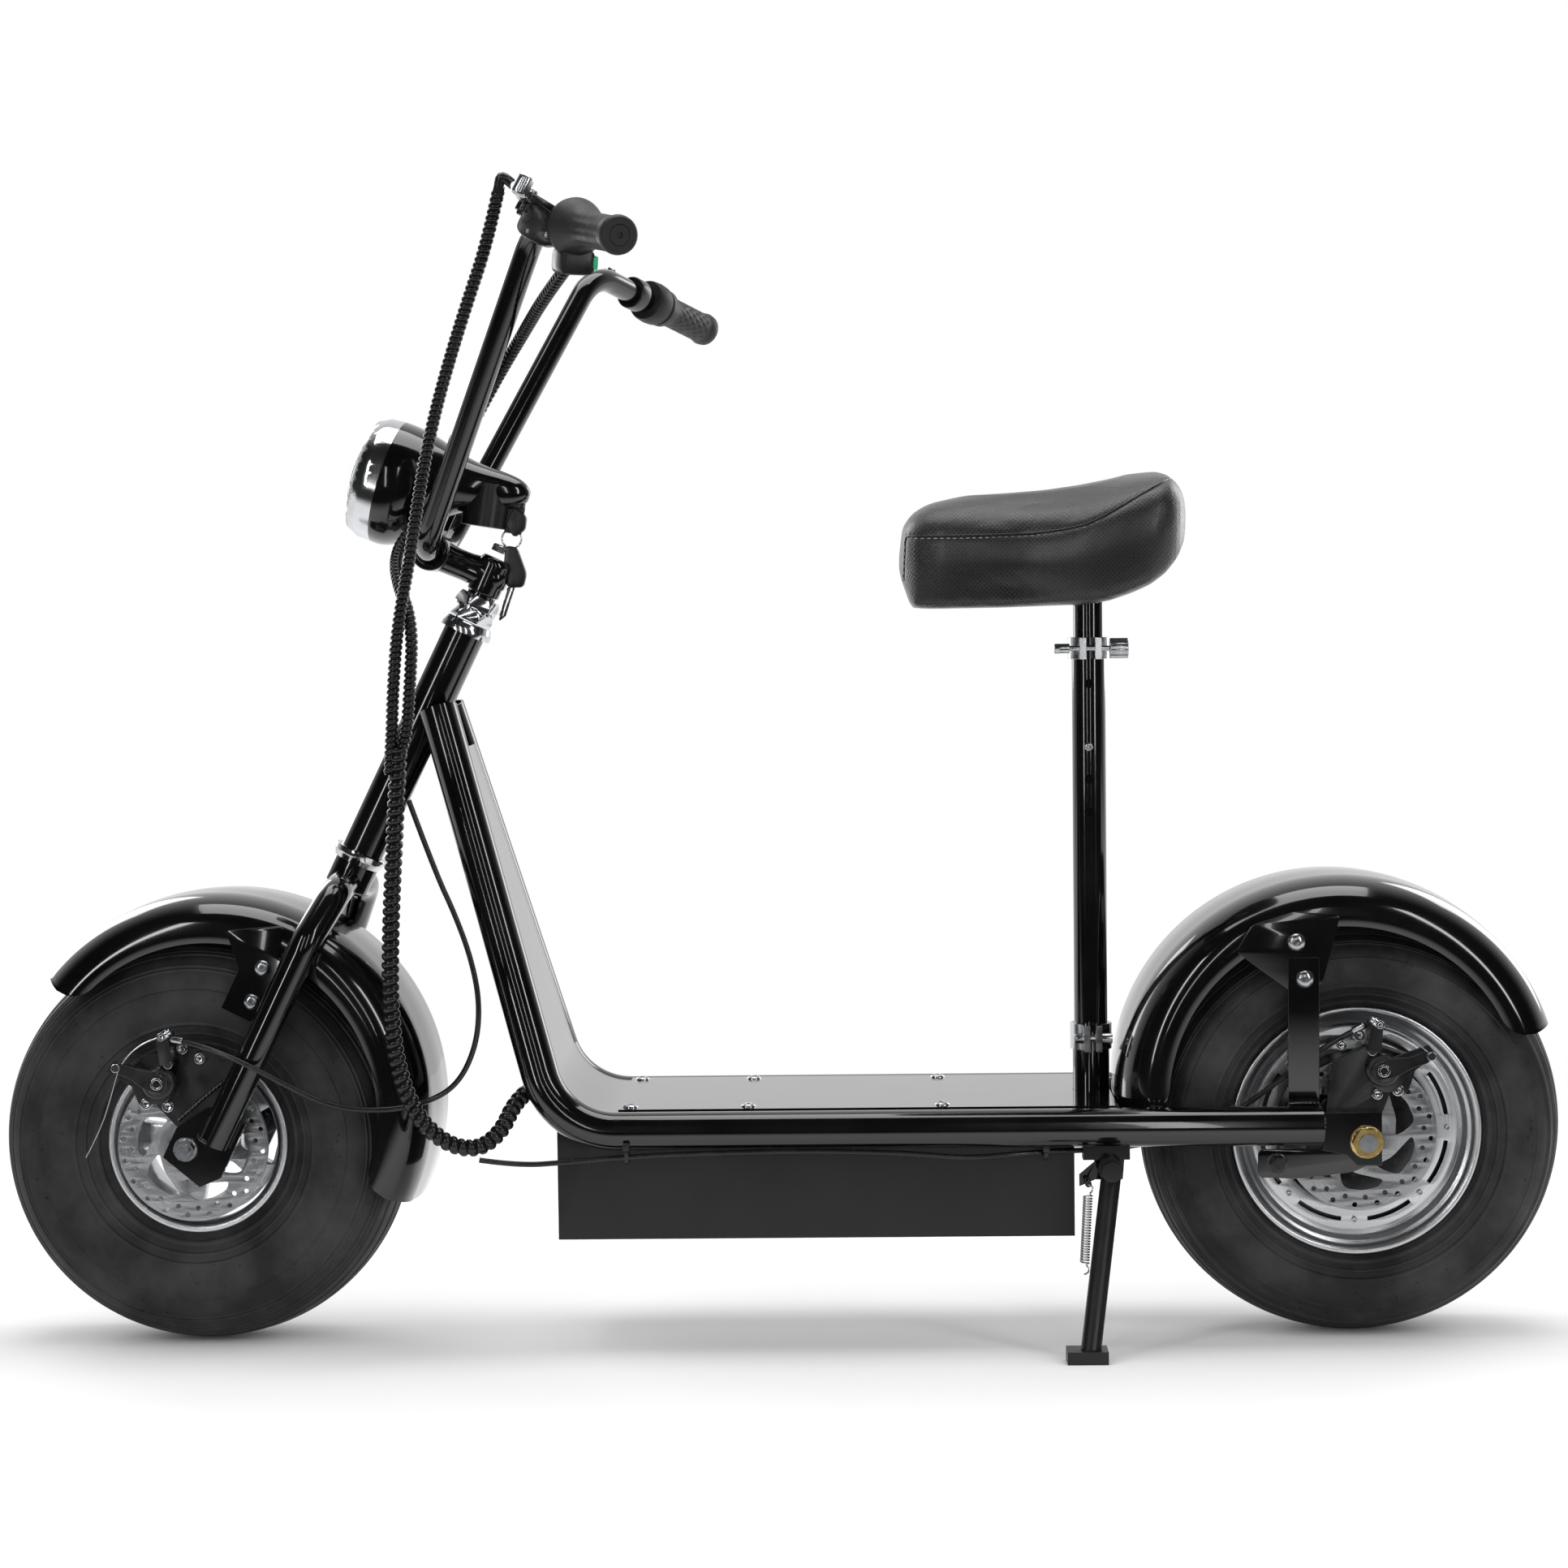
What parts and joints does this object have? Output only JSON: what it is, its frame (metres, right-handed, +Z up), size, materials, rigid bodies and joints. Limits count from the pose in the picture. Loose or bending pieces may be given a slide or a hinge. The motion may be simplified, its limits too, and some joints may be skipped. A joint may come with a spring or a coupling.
{
  "type": "electric chopper scooter",
  "caption": "Two-wheeled electric scooter with fat tyres, high swept handlebar, step-through tube frame with a low deck, round headlight, and a saddle on a post, leaning on its side stand.",
  "frame": {"origin": "floor level under the middle of the bounding box, the scooter leaning on its side stand", "axes": "+X from front to rear along the scooter, +Z up, -Y its left side, the side it leans to"},
  "size_m": [1.4448, 0.7512, 1.0462],
  "materials": {
    "frame_paint": "gloss black",
    "box_paint": "satin black",
    "deck_paint": "fine grained black",
    "chrome": "bright plated",
    "aluminium": "satin",
    "steel": "brushed",
    "cast_black": "satin black",
    "tyre_rubber": "matt",
    "grip_rubber": "matt",
    "black_plastic": "matt",
    "pack_plastic": "matt",
    "cable_plastic": "gloss",
    "lens": "clear",
    "vinyl": "perforated"
  },
  "bodies": {
    "frame": {"head_tube": "frame_paint", "headset_cups": "chrome", "frame_tube_left": "frame_paint", "frame_tube_right": "frame_paint", "front_panel": "frame_paint", "deck_plate": "deck_paint", "battery_box": "box_paint", "battery_pack": "pack_plastic", "seat_socket": "frame_paint", "seat_tube": "frame_paint", "seat_clamp": "aluminium", "socket_collar": "aluminium", "rear_fender": "frame_paint", "rear_stays": "frame_paint", "rear_dropouts": "frame_paint", "rear_axle": "steel", "rear_axle_nuts": "steel", "rear_caliper": "cast_black", "kickstand_bracket": "frame_paint", "loom": "cable_plastic", "rear_brake_cable": "cable_plastic"},
    "steering": {"fork_leg_left": "frame_paint", "fork_leg_right": "frame_paint", "fork_crown": "frame_paint", "front_axle": "steel", "front_axle_nuts": "steel", "headset_nuts": "chrome", "stem": "cast_black", "handlebar": "frame_paint", "grips": "grip_rubber", "brake_levers": "cast_black", "switch_box": "black_plastic", "headlight_shell": "frame_paint", "headlight_bezel": "chrome", "headlight_lens": "lens", "headlight_bracket": "cast_black", "ignition_lock": "black_plastic", "front_fender": "frame_paint", "front_caliper": "cast_black", "lever_harness": "cable_plastic", "switch_harness": "cable_plastic", "front_brake_cable": "cable_plastic"},
    "front_wheel": {"front_tyre": "tyre_rubber", "front_rim": "cast_black", "front_disc": "steel"},
    "rear_wheel": {"rear_tyre": "tyre_rubber", "rear_rim": "cast_black", "rear_disc": "steel"},
    "stand": {"kickstand_leg": "cast_black", "kickstand_spring": "steel"},
    "seat": {"seat_post": "frame_paint", "saddle_cushion": "vinyl", "saddle_base": "black_plastic"}
  },
  "joints": [
    {"name": "steering_turn", "type": "hinge", "parent": "frame", "child": "steering", "pos_m": [-0.51818, 0.04966, 0.18289], "axis": [0.4384, -0.0549, 0.8971], "range_deg": [-32, 38], "deforming": ["loom", "front_brake_cable"]},
    {"name": "front_wheel_spin", "type": "hinge", "parent": "steering", "child": "front_wheel", "pos_m": [-0.53255, 0.05007, 0.18993], "axis": [0.047, 0.9982, 0.0381], "continuous": true},
    {"name": "rear_wheel_spin", "type": "hinge", "parent": "frame", "child": "rear_wheel", "pos_m": [0.52943, 0.04905, 0.19288], "axis": [0, 0.9981, 0.061], "continuous": true},
    {"name": "kickstand_swing", "type": "hinge", "parent": "frame", "child": "stand", "pos_m": [0.29943, -0.06146, 0.16508], "axis": [0, -0.9981, -0.061], "range_deg": [0, 85], "stiffness_Nm_per_rad": 1, "springref_deg": -34.38, "deforming": ["kickstand_spring"]},
    {"name": "seat_height", "type": "slide", "parent": "frame", "child": "seat", "axis": [0, -0.061, 0.9981], "range_m": [-0.02, 0.12]}
  ]
}
